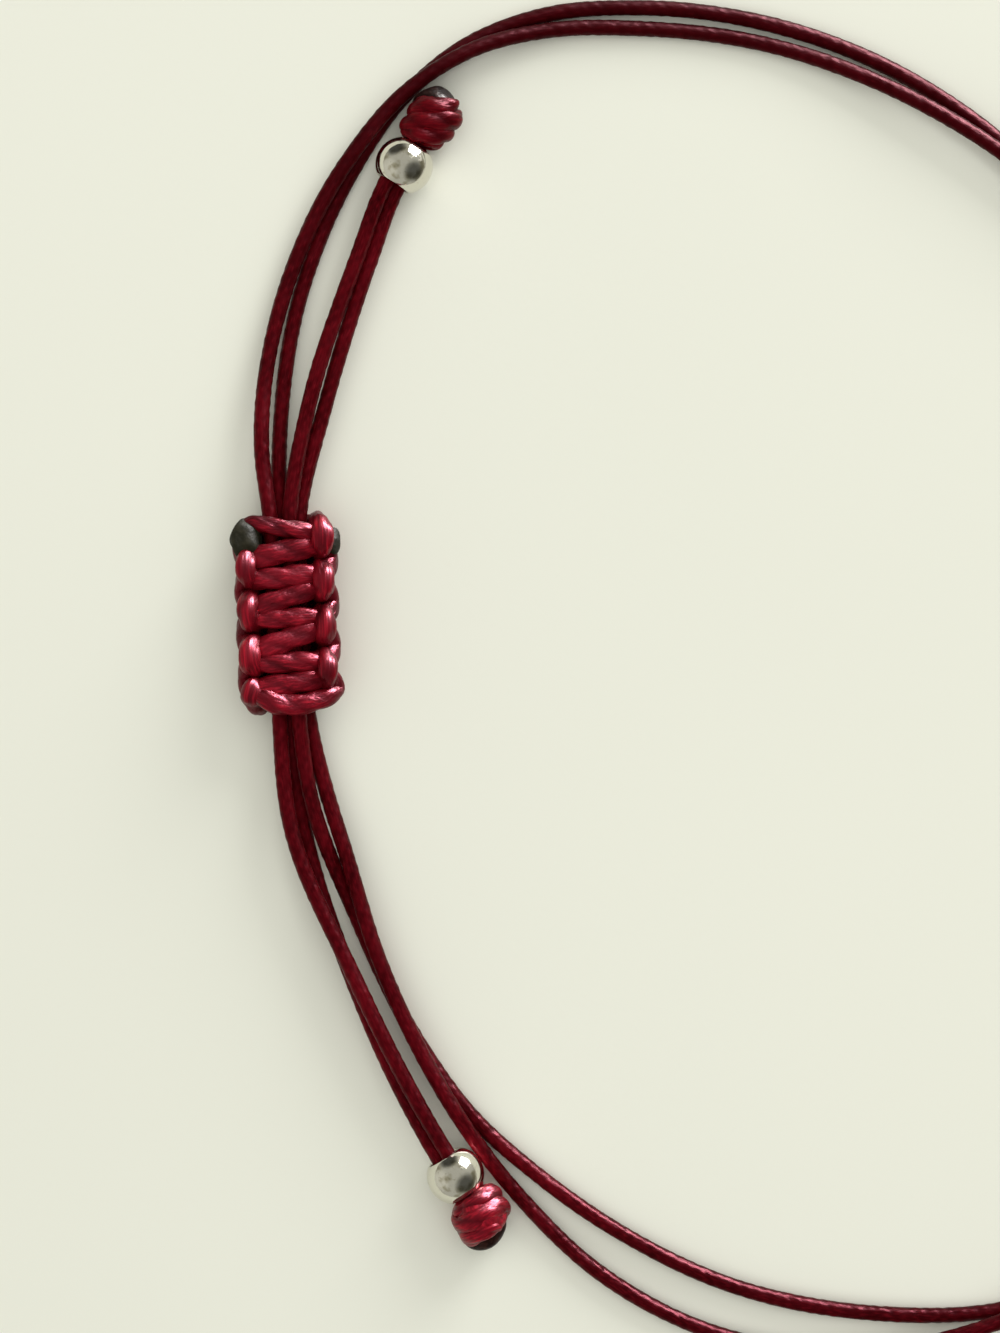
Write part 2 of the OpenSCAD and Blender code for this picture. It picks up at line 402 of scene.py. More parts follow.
def hermite(points: Array, samples: int = 48) -> tuple[Array, Array]:
    """A smooth curve through points, with each point's tangent weighted by its spans' lengths.

    On a span of length D the curve is the cubic that starts and ends on the points with the
    tangents D*m, where m mixes the two neighbouring slopes, the nearer span's slope the more.

    Args:
        points: Control points, an array (n, 3).
        samples: Samples on each span.

    Returns:
        The samples, and for each the control number that it lies at, counted in fractions.
    """
    spans = np.linalg.norm(np.diff(points, axis=0), axis=1)
    slopes = np.diff(points, axis=0) / spans[:, None]
    tangents = np.empty_like(points)
    tangents[0], tangents[-1] = slopes[0], slopes[-1]
    weights = (spans[:-1] + spans[1:])[:, None]
    tangents[1:-1] = (slopes[:-1] * spans[1:, None] + slopes[1:] * spans[:-1, None]) / weights
    t = np.linspace(0.0, 1.0, samples, endpoint=False)[None, :, None]
    a, b = points[:-1, None], points[1:, None]
    ta, tb = tangents[:-1, None] * spans[:, None, None], tangents[1:, None] * spans[:, None, None]
    cubic = ((2 * t**3 - 3 * t**2 + 1) * a + (t**3 - 2 * t**2 + t) * ta
             + (3 * t**2 - 2 * t**3) * b + (t**3 - t**2) * tb)
    number = np.arange(len(points) - 1)[:, None] + t[0, :, 0][None]
    return (np.concatenate([cubic.reshape(-1, 3), points[-1:]]),
            np.append(number.ravel(), len(points) - 1.0))


def evenly(curve: Array, number: Array, step: float) -> tuple[Array, ...]:
    """Samples a curve again at even distances along it.

    Args:
        curve: Points along the curve.
        number: The control number at each.
        step: Distance wanted between samples, in metres.

    Returns:
        The new points, the distance along the curve at each, and the control number at each.
    """
    run = np.append(0.0, np.cumsum(np.linalg.norm(np.diff(curve, axis=0), axis=1)))
    count = max(3, int(round(run[-1] / step)) + 1)
    at = np.linspace(0.0, run[-1], count)
    points = np.stack([np.interp(at, run, curve[:, k]) for k in range(3)], axis=1)
    return points, at, np.interp(at, run, number)


def directions(points: Array) -> Array:
    """Unit tangents of a curve."""
    tangents = np.gradient(points, axis=0)
    return tangents / np.linalg.norm(tangents, axis=1, keepdims=True)


def level_frame(tangents: Array) -> tuple[Array, Array]:
    """Two directions across a curve that lies down.

    Args:
        tangents: Unit tangents.

    Returns:
        The directions to the curve's left and up from the surface.
    """
    side = np.cross([0.0, 0.0, 1.0], tangents)
    side /= np.linalg.norm(side, axis=1, keepdims=True)
    return side, np.cross(tangents, side)


def twist_free_frame(tangents: Array, pole: Vector) -> tuple[Array, ...]:
    """Two directions across a curve that turns every way, carried along it without twist.

    A frame made from a fixed pole spins as the curve turns. Its spin, the change of its first
    direction along its second, is added up and taken off again.

    Args:
        tangents: Unit tangents.
        pole: A direction that the curve never runs along.

    Returns:
        The two directions, each an array like tangents.
    """
    side = np.cross(np.array(pole), tangents)
    side /= np.linalg.norm(side, axis=1, keepdims=True)
    up = np.cross(tangents, side)
    spin = np.einsum("ij,ij->i", np.diff(side, axis=0), 0.5 * (up[1:] + up[:-1]))
    angle = -np.append(0.0, np.cumsum(spin))[:, None]
    return (np.cos(angle) * side + np.sin(angle) * up, -np.sin(angle) * side + np.cos(angle) * up)


@dataclass
class Strand:
    """A strand's surface before it is a mesh.

    Fields: centres (n, 3), around (n, m, 3) offsets from the centres, length along (n), and a
    crest value (n, m) that is high on the ridges between the plies' grooves.
    """

    centres: Array
    around: Array
    length: Array
    crest: Array

    @classmethod
    def swept(cls, centres: Array, length: Array, across: tuple[Array, ...],
              sizes: Array, relief: "Relief", sides: int = 24) -> "Strand":
        """Carries a ring along a curve.

        A ring's point at angle f lies along d = cos f * side + sin f * up. Its offset is d times
        the half widths along X, Y and Z, times one plus the relief, and shrinks to nothing over the
        last half width at both ends.

        Args:
            centres: Ring centres.
            length: Distance along the curve at each.
            across: The two directions across the curve at each.
            sizes: Half widths (n, 3) or (n, 1).
            relief: The strand's surface relief.
            sides: Points in a ring.

        Returns:
            The strand.
        """
        side, up = across
        angle = -0.5 * np.pi + 2 * np.pi * np.arange(sides) / sides
        d = np.cos(angle)[None, :, None] * side[:, None] + np.sin(angle)[None, :, None] * up[:, None]
        height = relief.height(angle[None, :], length[:, None] / MM)
        near = np.minimum(length, length[-1] - length) / sizes.min()
        rounded = np.sqrt(1.0 - (1.0 - np.clip(near, 0.0, 1.0)) ** 2)[:, None, None]
        offsets = d * sizes[:, None, :] * (1.0 + height)[..., None] * rounded
        offsets[0], offsets[-1] = 0.0, 0.0
        crest = np.clip(0.5 + height / max(1e-6, 2.0 * relief.depth), 0.0, 1.0)
        return cls(centres, offsets, length, crest)

    def moved(self, carry: Carry) -> "Strand":
        """Moves the strand.

        Args:
            carry: The function that carries its points.

        Returns:
            The moved strand.
        """
        around = carry(self.centres[:, None] + self.around)
        centres = carry(self.centres)
        return Strand(centres, around - centres[:, None], self.length, self.crest)


@dataclass(frozen=True)
class Relief:
    """Relief of a strand: plies that wind round it, a finer braid and slow waves of thickness.

    With f the angle round and s the millimetres along, the height is
    ply_depth * (2 |cos(plies (f - 2 pi s / lay) / 2)| - 1)
    + braid_depth * cos(braids (f + 2 pi s / lean)) cos(2 pi s / pitch)
    + wander * (sin(2 pi s / short + seed) + sin(2 pi s / long + 2 seed)) / 2,
    where short and long are the two waves' lengths.
    """

    plies: int = 3
    ply_depth: float = 0.012
    lay: float = 4.0
    braids: int = 4
    braid_depth: float = 0.03
    pitch: float = 0.72
    lean: float = 31.0
    wander: float = 0.02
    waves: tuple[float, float] = (7.3, 17.9)
    seed: float = 0.0

    @property
    def depth(self) -> float:
        """Depth of the plies and the braid together."""
        return self.ply_depth + self.braid_depth

    def height(self, angle: Array, s: Array) -> Array:
        """Works out the height.

        Args:
            angle: Angles round the strand.
            s: Millimetres along it.

        Returns:
            Heights as shares of the strand's half width.
        """
        run = 2 * np.pi * s
        short, long = self.waves
        ply = 2 * np.abs(np.cos(0.5 * self.plies * (angle - run / self.lay))) - 1
        braid = np.cos(self.braids * (angle + run / self.lean)) * np.cos(run / self.pitch)
        slow = np.sin(run / short + self.seed) + np.sin(run / long + 2 * self.seed)
        return self.ply_depth * ply + self.braid_depth * braid + 0.5 * self.wander * slow


def grid_quads(rows: int, columns: int, closed: bool = False) -> Array:
    """Quads of a grid of points, numbered row by row, that is closed round each row.

    Args:
        rows: Rows of points.
        columns: Points in a row.
        closed: Whether the last row joins the first, too.

    Returns:
        An array (n, 4) of point numbers.
    """
    i, k = np.meshgrid(np.arange(rows if closed else rows - 1), np.arange(columns), indexing="ij")
    below, after = (i + 1) % rows, (k + 1) % columns
    return np.stack([i * columns + k, i * columns + after, below * columns + after,
                     below * columns + k], axis=-1).reshape(-1, 4)


def fan(pole: int, ring: int, columns: int, forwards: bool) -> Array:
    """Triangles from a pole to a ring of points.

    Args:
        pole: The pole's number.
        ring: Number of the ring's first point.
        columns: Points in the ring.
        forwards: Whether the corners run as the ring's numbers do.

    Returns:
        An array (columns, 3) of point numbers.
    """
    here = ring + np.arange(columns)
    after = np.roll(here, -1)
    pair = (here, after) if forwards else (after, here)
    return np.stack([np.full(columns, pole), *pair], axis=-1)


def strand_mesh(name: str, strands: list[Strand], material: Material) -> bpy.types.Object:
    """Makes one object of closed strands.

    Each strand's rings but the first and last are joined by quads, and each end closes in
    triangles on a pole. The map "strand" holds turns round the strand and millimetres along it.

    Args:
        name: The object's name.
        strands: The strands.
        material: Its finish.

    Returns:
        The object.
    """
    points, quads, tris, quad_uv, tri_uv, crest = [], [], [], [], [], []
    base = 0
    for strand in strands:
        n, m = strand.around.shape[:2]
        rings = (strand.centres[:, None] + strand.around)[1:-1]
        points += [strand.centres[:1], rings.reshape(-1, 3), strand.centres[-1:]]
        crest += [[0.5], strand.crest[1:-1].ravel(), [0.5]]
        first, last = base + 1, base + 1 + (n - 2) * m
        quad = grid_quads(n - 2, m)
        quads.append(first + quad)
        tris += [fan(base, first, m, False), fan(last, last - m, m, True)]
        s = strand.length / MM
        # A quad's two middle corners lie one column on, past the seam too
        column = quad[:, :1] % m + np.array([0, 1, 1, 0])
        quad_uv.append(np.stack([column / m, s[1 + quad // m]], axis=-1).reshape(-1, 2))
        for offsets, pole, ring in (((0.5, 1, 0), s[0], s[1]), ((0.5, 0, 1), s[-1], s[-2])):
            column = np.arange(m)[:, None] + np.array(offsets)
            height = np.tile([pole, ring, ring], (m, 1))
            tri_uv.append(np.stack([column / m, height], axis=-1).reshape(-1, 2))
        base = last + 1
    return mesh_object(name, np.concatenate(points), np.concatenate(quads), np.concatenate(tris),
                       material, np.concatenate(quad_uv + tri_uv), {"crest": np.concatenate(crest)})


def linked(name: str, data: bpy.types.ID) -> bpy.types.Object:
    """A new object of the scene with this data."""
    item = bpy.data.objects.new(name, data)
    bpy.context.scene.collection.objects.link(item)
    return item


def mesh_object(name: str, points: Array, quads: Array, tris: Array, material: Material,
                uv: Array | None = None, values: dict[str, Array] | None = None) -> bpy.types.Object:
    """Puts arrays into a smooth-shaded mesh object that rides on the bracelet.

    Args:
        name: The object's name.
        points: Vertices (n, 3).
        quads: Quads (a, 4).
        tris: Triangles (b, 3).
        material: Its finish.
        uv: A pair for each corner, quads first.
        values: Numbers for each vertex, by attribute name.

    Returns:
        The object.
    """
    mesh = bpy.data.meshes.new(name)
    corners = np.concatenate([quads.ravel(), tris.ravel()]).astype(np.int32)
    counts = np.concatenate([np.full(len(quads), 4), np.full(len(tris), 3)])
    starts = np.append(0, np.cumsum(counts)[:-1]).astype(np.int32)
    mesh.vertices.add(len(points))
    mesh.vertices.foreach_set("co", np.ascontiguousarray(points, dtype=np.float32).ravel())
    mesh.loops.add(len(corners))
    mesh.loops.foreach_set("vertex_index", corners)
    mesh.polygons.add(len(counts))
    mesh.polygons.foreach_set("loop_start", starts)
    mesh.update(calc_edges=True)
    mesh.polygons.foreach_set("use_smooth", np.ones(len(counts), dtype=bool))
    if uv is not None:
        layer = mesh.uv_layers.new(name="strand")
        layer.uv.foreach_set("vector", uv.astype(np.float32).ravel())
    for key, value in (values or {}).items():
        layer = mesh.attributes.new(key, "FLOAT", "POINT")
        layer.data.foreach_set("value", value.astype(np.float32))
    mesh.materials.append(material)
    mesh.validate()
    piece = linked(name, mesh)
    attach(piece, BODY)
    log.info("%s: %d triangles", name, 2 * len(quads) + len(tris))
    return piece


@dataclass(frozen=True)
class Lump:
    """A melted end: an ellipsoid with a rippled skin.

    Its middle and half sizes are in millimetres, in the axes of the knot that it sits on. The
    depth is the ripples' height as a share of the size, and their size is that on a unit sphere.
    """

    middle: Vector
    half: Vector
    seed: float
    depth: float = 0.15
    ripple_size: float = 0.5
    rows: int = 40
    columns: int = 64

    def skin(self, sphere: Array) -> Array:
        """Shapes points p of a unit sphere into middle + p * half * (1 + depth * ripple).

        The ripple is the mean of three crossed sine waves.

        Args:
            sphere: The points (n, 3).

        Returns:
            The lump's points in metres, in the knot's own axes.
        """
        x, y, z = np.moveaxis(sphere / self.ripple_size, -1, 0)
        ripple = (np.sin(2.1 * x + 1.3 * y + self.seed) + np.sin(2.7 * y - 1.9 * z + 2 * self.seed)
                  + np.sin(2.3 * z + 1.7 * x + 3 * self.seed)) / 3
        skin = sphere * np.array(self.half) * (1 + self.depth * ripple)[:, None]
        return (np.array(self.middle) + skin) * MM

    def build(self, name: str, place: Carry, finish: Material) -> bpy.types.Object:
        """Builds the lump from rows and columns of a sphere that closes on two poles.

        Args:
            name: The object's name.
            place: Function from the knot's own axes to the bracelet's.
            finish: Its material.

        Returns:
            The object.
        """
        rows, columns = self.rows, self.columns
        polar = np.pi * np.arange(1, rows + 1)[:, None] / (rows + 1)
        turn = 2 * np.pi * np.arange(columns) / columns
        ring = np.stack([np.sin(polar) * np.cos(turn), np.sin(polar) * np.sin(turn),
                         np.cos(polar) * np.ones(columns)], axis=-1).reshape(-1, 3)
        points = place(self.skin(np.concatenate([ring, [[0, 0, 1.0], [0, 0, -1.0]]])))
        top = rows * columns
        tris = np.concatenate([fan(top, 0, columns, True),
                               fan(top + 1, top - columns, columns, False)])
        # The rows run downwards, so each quad is turned over
        quads = grid_quads(rows, columns)[:, [0, 3, 2, 1]]
        return mesh_object(name, points, quads, tris, finish)


# The bracelet's pieces


@dataclass
class LongCord:
    """One of the two long cords, from the upper end knot round the loop to the lower end knot."""

    node: str
    route: Array
    seed: float
    step: float = 0.13 * MM
    path_every: int = 8

    def build(self, finish: Material) -> None:
        """Builds the cord and hides the CAD part that it replaces.

        Args:
            finish: Its material.
        """
        curve, number = hermite(self.route)
        curve[:, 2] = np.maximum(curve[:, 2], CORD_R)
        centres, length, _ = evenly(curve, number, self.step)
        strand = Strand.swept(centres, length, level_frame(directions(centres)),
                              np.full((len(centres), 1), CORD_R), Relief(seed=self.seed))
        piece = strand_mesh(self.node + "_waxed", [strand], finish)
        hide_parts(self.node)


@dataclass(frozen=True)
class Bar:
    """One bar across the sliding knot's front: its shift along the knot, tilt and width, in mm."""

    shift: float
    tilt: float
    width: float


@dataclass
class SlidingKnot:
    """A third cord tied round the four strands in square knots, with both its ends melted.

    Its own axes are across, along and up, in millimetres. The lean turns it to the left, in
    degrees, the skew is how far it climbs for each millimetre across, and the pitch is the way
    from bar to bar. The cord gets painted shade below the first of the painted light heights, and
    its ridges a painted highlight from there up, fully at the second. The pole is a direction that
    the cord never runs along.
    """

    centre: Vector = (-29.1, 3.85, 1.86)
    lean: float = 2.3
    skew: float = 0.09
    pitch: float = 1.36
    thickness: float = 0.92
    back_width: float = 1.5
    face_height: float = 1.3
    worn: tuple[float, float] = (1.2, 1.9)
    pole: Vector = (0.35, 0.45, 0.82)
    step: float = 0.1 * MM
    bars: tuple[Bar, ...] = (
        Bar(0.12, -0.20, 1.08), Bar(0.02, -0.02, 1.42), Bar(-0.2, 0.06, 1.32),
        Bar(-0.10, 0.10, 1.34), Bar(-0.02, 0.02, 1.15), Bar(0.02, 0.14, 1.42),
        Bar(-0.04, 0.02, 1.22), Bar(0.0, -0.06, 1.3), Bar(0.0, 0.0, 1.25),
    )

    def along(self, bar: float) -> float:
        """Place of a bar along the knot; bars number from the head, 0, to the foot."""
        return ((len(self.bars) - 1) / 2 - bar) * self.pitch

    def half_bar(self) -> Array:
        """A front bar from its middle to the U turn that it ends in: across, along, height."""
        return np.array([(0, 0, 1.40), (1.1, -0.1, 1.38), (1.85, -0.2, 1.12), (2.4, -0.1, 0.85),
                         (2.75, self.pitch / 2, 0.4)])

    def half_wrap(self) -> Array:
        """A back bar from its middle round the side to the middle of the bump in front."""
        return np.array([(0, 0, -1.31), (1.25, -0.12, -1.31), (1.95, -0.2, -0.85), (2.08, -0.12, 0),
                         (2.12, 0.02, 0.75), (2.35, 0.26, 1.45), (2.42, self.pitch / 2, 1.82)])

    def foot_bar(self) -> Array:
        """The loose bar at the foot and its way behind to the first bump on the left.

        Columns: across, along from the foot's level, height, bar width.
        """
        return np.array([(2.3, 0.28, 1.0, 1.15), (1.2, 0.05, 1.38, 1.25), (0, 0.05, 1.5, 1.35),
                         (-0.95, 0.32, 1.6, 1.4), (-1.6, 0.72, 1.5, 1.3), (-2.0, 0.95, 0.6, 1.1),
                         (-1.8, 0.6, -0.5, 1.1), (-1.95, 0.3, -0.6, 1.1), (-2.2, 0.3, 0.25, 1.1),
                         (-2.38, 0.75, 1.0, 1.1)])

    def placed(self, half: Array, side: int, bar: int, turn: int, front: bool) -> Array:
        """Puts a half bar into the knot.

        A front bar's shift and tilt fade out from 1.8 to 2.4 mm across, where its U turn starts.

        Args:
            half: The half bar's points.
            side: -1 for the left, 1 for the right.
            bar: Number of the front bar at its level.
            turn: 1 if it climbs from the middle, -1 if it sinks.
            front: Whether it lies on the front.

        Returns:
            Control points with the bar's width as fourth column.
        """
        shape = self.bars[bar]
        across, along = side * half[:, 0], turn * half[:, 1]
        extra = shape.shift + shape.tilt * across if front else 0.0 * across
        fade = np.clip((2.4 - np.abs(across)) / 0.6, 0.0, 1.0)
        width = np.full(len(half), shape.width if front else self.back_width)
        return np.stack([across, self.along(bar) + along + extra * fade, half[:, 2], width], axis=1)

    def whole(self, half: Array, side: int, bar: int, front: bool) -> Array:
        """A whole bar that leaves the knot's middle towards one side, a half turn of itself."""
        return np.concatenate([self.placed(half, -side, bar, -1, front)[:0:-1],
                               self.placed(half, side, bar, 1, front)])

    def route(self) -> Array:
        """The knotting cord from its right end at the head, down the front, and up behind.

        Odd bars leave to the left going up and even bars to the right. Each passes its half turn
        to the bar above it, while the cord's other half winds behind, between the bumps.

        Returns:
            Control points (n, 4) in millimetres: across, along, height and bar width.
        """
        bar, wrap, foot = self.half_bar(), self.half_wrap(), len(self.bars) - 1
        sides = {k: -1 if k % 2 else 1 for k in range(foot + 1)}
        top, low = self.along(0), self.along(foot)
        turn = np.array([(2.85, low + self.pitch / 2, 0.4, 1.1)])
        climb = [self.whole(bar, sides[k], k, True)[1:] for k in range(foot - 1, 0, -1)]
        head = self.whole(bar, 1, 0, True)[1:-2]
        right_end = np.array([(2.35, top - 0.35, 0.85, 0.95), (2.85, top - 0.7, 0.8, 0.9)])
        front = np.concatenate([turn, *climb, head, right_end])[::-1]
        behind = [self.whole(wrap, -sides[k], k, False)[1:] for k in range(foot - 1, 0, -1)]
        last = self.whole(wrap, -1, 0, False)[1:len(wrap) + 3]
        left_end = np.array([(-2.0, top - 0.25, 0.75, 1.1), (-2.6, top - 0.3, 0.95, 1.0)])
        return np.concatenate([front, self.foot_bar() + (0, low, 0, 0), *behind, last, left_end])

    def sizes(self, points: Array, width: Array) -> Array:
        """Half widths of the cord: wide and thin on the faces, narrow round the sides.

        Args:
            points: Ring centres in millimetres, in the knot's own axes.
            width: The bar's width at each.

        Returns:
            Half widths along X, Y and Z in metres.
        """
        face = np.clip(np.abs(points[:, 2]) / self.face_height, 0.0, 1.0)
        face = face * face * (3 - 2 * face)
        return 0.5 * MM * np.stack([self.thickness * (1 + 0.38 * face), width,
                                    self.thickness * (1 - 0.08 * face)], axis=1)

    def carry(self, local: Array) -> Array:
        """Carries points in metres from the knot's own axes to the bracelet's."""
        return turned(local, math.radians(self.lean)) + np.array(self.centre) * MM

    def build(self, finish: Material, melted: Material) -> None:
        """Builds the knotting cord and its melted ends.

        Args:
            finish: Material of the cord.
            melted: Material of its ends.
        """
        control = self.route()
        control[:, 1] += self.skew * control[:, 0]
        curve, number = hermite(control[:, :3] * MM, 24)
        centres, length, number = evenly(curve, number, self.step)
        width = np.interp(number, np.arange(len(control)), control[:, 3])
        relief = Relief(ply_depth=0.08, lay=5.4, braid_depth=0.0, wander=0.07, seed=1.3)
        strand = Strand.swept(centres, length, twist_free_frame(directions(centres), self.pole),
                              self.sizes(centres / MM, width), relief)
        # Painted shade and highlight: the crest is scaled by height, so the knot's low, tucked parts come
        # out dark and its high faces bright
        low, high = self.worn
        rise = (strand.centres[:, None, 2] + strand.around[..., 2]) / MM
        strand.crest *= np.clip((rise - low) / (high - low), 0.0, 1.0)
        cord = strand_mesh("sliding_knot_cord", [strand.moved(self.carry)], finish)
        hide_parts("sliding_knot")
        head = self.along(0)
        blob = Lump((-2.35, head - 0.45, 1.0), (1.0, 1.22, 0.8), seed=0.4)
        tip = Lump((2.95, head - 0.8, 0.85), (0.52, 0.85, 0.6), seed=1.9, rows=20, columns=32)
        for piece in (cord, blob.build("sliding_knot_melted_end", self.carry, melted),
                      tip.build("sliding_knot_melted_tip", self.carry, melted)):
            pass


@dataclass
class DrilledBead:
    """A round metal bead with a hole along its tail and a rounded rim at both mouths.

    The radii of the bead, its hole and its rims are in millimetres.
    """

    tail: Tail
    radius: float = 1.8
    hole: float = 1.05
    rim: float = 0.1
    outer_steps: int = 72
    inner_steps: int = 12
    columns: int = 96

    def build(self, finish: Material) -> None:
        """Builds the bead as a closed profile turned about its hole.

        The profile is the outer arc, the rim's arc, the hole's wall and the other rim's arc.

        Args:
            finish: Its material.
        """
        rim, steps = self.rim, self.inner_steps
        rim_at = self.hole + rim
        mouth = math.sqrt((self.radius - rim) ** 2 - rim_at ** 2)
        start = math.atan2(rim_at, mouth)
        outer = np.linspace(start, np.pi - start, self.outer_steps, endpoint=False)
        low_rim = np.linspace(np.pi - start, 1.5 * np.pi, steps, endpoint=False)
        high_rim = np.linspace(-0.5 * np.pi, start, steps, endpoint=False)
        wall = np.linspace(-mouth, mouth, steps, endpoint=False)
        r = np.concatenate([self.radius * np.sin(outer), rim_at + rim * np.sin(low_rim),
                            np.full(steps, self.hole), rim_at + rim * np.sin(high_rim)])
        y = np.concatenate([self.radius * np.cos(outer), -mouth + rim * np.cos(low_rim), wall,
                            mouth + rim * np.cos(high_rim)])
        columns, rows = self.columns, len(r)
        turn = 2 * np.pi * np.arange(columns) / columns
        local = np.stack([r[:, None] * np.cos(turn), np.repeat(y[:, None], columns, axis=1),
                          r[:, None] * np.sin(turn)], axis=-1)
        name = self.tail.label + "_bead"
        piece = mesh_object(name + "_polished", self.tail.place(local.reshape(-1, 3) * MM),
                            grid_quads(rows, columns, closed=True), np.zeros((0, 3), dtype=int),
                            finish)
        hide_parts(name)


@dataclass
class EndKnot:
    """The tail's two strands tied in one tight knot behind the bead, with a melted far end.

    Sizes are in millimetres, and its own y axis runs along the tail from the bead's centre. The
    strands are wound at the coil's radius round a point the reach away, from the start angle in
    degrees, and each turn advances them. The slant is how far the lobes climb for each millimetre
    across. The rounding narrows the coil's ends, and the press is the knot's height as a share of
    its width. A strand begins inside the knot at the first of the tucked parts and is out at the
    coil by the second.
    """

    tail: Tail
    cap: Lump
    start: float
    hand: int
    turns: float
    advance: float
    slant: float
    coil: float
    half_width: float
    half_depth: float
    reach: float
    rounding: float
    press: float = 0.88
    tucked: tuple[float, float] = (-1.45, -1.15)
    unevenness: tuple[float, float] = (0.04, 0.06)
    samples: int = 620
    step: float = 0.08 * MM

    def strand(self, phase: float, seed: float) -> Strand:
        """One strand of the pair, wound round the knot's middle from the bead to the far end.

        At part p from -1 to 1 it stands at the angle hand * pi * turns * p + phase and as far along
        as p makes of half its advance, at the coil's radius, swollen in the middle, pulled in at
        both ends and pressed a little flat. Where it would lie d deep in the bead, it is pushed out
        by (d + sqrt(d * d + 0.02)) / 2, which fades out towards the hole.

        Args:
            phase: Angle at the knot's middle, in degrees.
            seed: Number that sets its small irregularities.

        Returns:
            The strand in the tail's own axes.
        """
        begins, out = self.tucked
        p = np.linspace(begins, 1.0, self.samples)
        angle = self.hand * np.pi * self.turns * p + math.radians(phase + self.start)
        wobble = np.sin(2 * angle + seed)
        start_pull = 0.7 * np.clip((out - p) / (out - begins), 0, 1) ** 2
        end_pull = 0.5 * np.clip(p, 0, 1) ** 8
        swell = np.sqrt(1 - self.rounding * np.clip(p, -1, 1) ** 2)
        radius = self.coil * (1 - start_pull - end_pull) * swell * (1 + self.unevenness[0] * wobble)
        y = (self.reach + 0.5 * self.turns * self.advance * np.maximum(p, -0.95)
             + self.slant * radius * np.cos(angle) + self.unevenness[1] * wobble)
        lying = DrilledBead.radius + 0.95 * self.half_depth
        inside = np.sqrt(np.clip(lying ** 2 - radius ** 2, 0, None)) - y
        y += np.clip((radius - 0.5) / 0.4, 0, 1) * 0.5 * (inside + np.sqrt(inside ** 2 + 0.02))
        raw = np.stack([radius * np.cos(angle), y, self.press * radius * np.sin(angle)], axis=1)
        centres, length, at = evenly(raw * MM, p, self.step)
        thin = 1 - 0.3 * np.clip(np.abs(at[:, None]), 0, 1) ** 8
        sizes = np.array([self.half_depth, self.half_width, self.half_depth]) * thin * MM
        relief = Relief(ply_depth=0.10, lay=4.6, braid_depth=0.0, wander=0.08, seed=seed)
        across = twist_free_frame(directions(centres), (0.1, 0.99, 0.1))
        return Strand.swept(centres, length, across, sizes, relief)

    def middle(self) -> Strand:
        """The strand that the pair is wound round: a bulge that fills the lobes' creases.

        It runs 1.75 mm towards the bead and 1.6 mm the other way, along an ellipse that is 1.9 mm
        long each way and 1.08 of the coil's radius wide.

        Returns:
            The strand in the tail's own axes.
        """
        y = np.linspace(self.reach - 1.75, self.reach + 1.6, 60)
        line = np.stack([0 * y, y, 0 * y], axis=1) * MM
        bulge = np.sqrt(np.clip(1 - ((y - self.reach) / 1.9) ** 2, 0.05, 1.0))[:, None]
        return Strand.swept(line, line[:, 1] - line[0, 1], level_frame(directions(line)),
                            self.coil * 1.08 * bulge * MM, Relief(ply_depth=0.03, braid_depth=0.0),
                            sides=32)

    def build(self, finish: Material, melted: Material) -> None:
        """Builds the wound pair and the melted cap.

        Args:
            finish: Material of the strands.
            melted: Material of the cap.
        """
        name, place = self.tail.label + "_end_knot", self.tail.place
        strands = [self.strand(0.0, 0.4), self.strand(180.0, 2.1), self.middle()]
        cord = strand_mesh(name + "_cord", [strand.moved(place) for strand in strands], finish)
        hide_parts(name)
        for piece in (cord, self.cap.build(name + "_melted_cap", place, melted)):
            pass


class LightUse(Enum):
    """What a light gives: all its light, highlights alone or matt light alone."""

    ALL = "all"
    GLEAM = "gleam"
    MATT = "matt"


def toward(turn: float, rise: float) -> Vector:
    """The direction at a turn from +X towards +Y and a rise over the floor, in degrees."""
    a, b = math.radians(turn), math.radians(rise)
    return (math.cos(a) * math.cos(b), math.sin(a) * math.cos(b), math.sin(b))


@dataclass(frozen=True)
class SoftLight:
    """A square soft light that faces the bracelet.

    Turn and rise give its direction in degrees, away and size are in metres, power in watts.
    """

    name: str
    turn: float
    rise: float
    away: float
    size: float
    power: float
    use: LightUse = LightUse.ALL

    def build(self) -> None:
        """Builds the light."""
        data = bpy.data.lights.new(self.name, "AREA")
        data.shape, data.size, data.energy = "SQUARE", self.size, self.power
        data.color = (1.0, 0.99, 0.97)
        light = linked(self.name, data)
        light.location = tuple(self.away * part for part in toward(self.turn, self.rise))
        light.rotation_euler = (math.radians(90.0 - self.rise), 0.0, math.radians(self.turn + 90.0))
        light.visible_diffuse = self.use is not LightUse.GLEAM
        light.visible_glossy = self.use is not LightUse.MATT


@dataclass(frozen=True)
class RoomPatch:
    """A part of the surrounding light that is darker or brighter, as the beads show it.

    Turn and rise give its middle in degrees, and change is the share that its strength changes
    by. It fades between the outer and inner angles from its middle, given as their cosines.
    """

    turn: float
    rise: float
    outer: float
    inner: float
    change: float

    def over(self, light: Signal, sky: Signal) -> Signal:
        """The light's strength with this patch laid over it, for a direction into the sky."""
        near = light.graph.add("VectorMath", {"operation": "DOT_PRODUCT"},
                               {0: sky, 1: toward(self.turn, self.rise)}, "Value")
        return light * (1.0 + near.eased(self.outer, self.inner) * self.change)


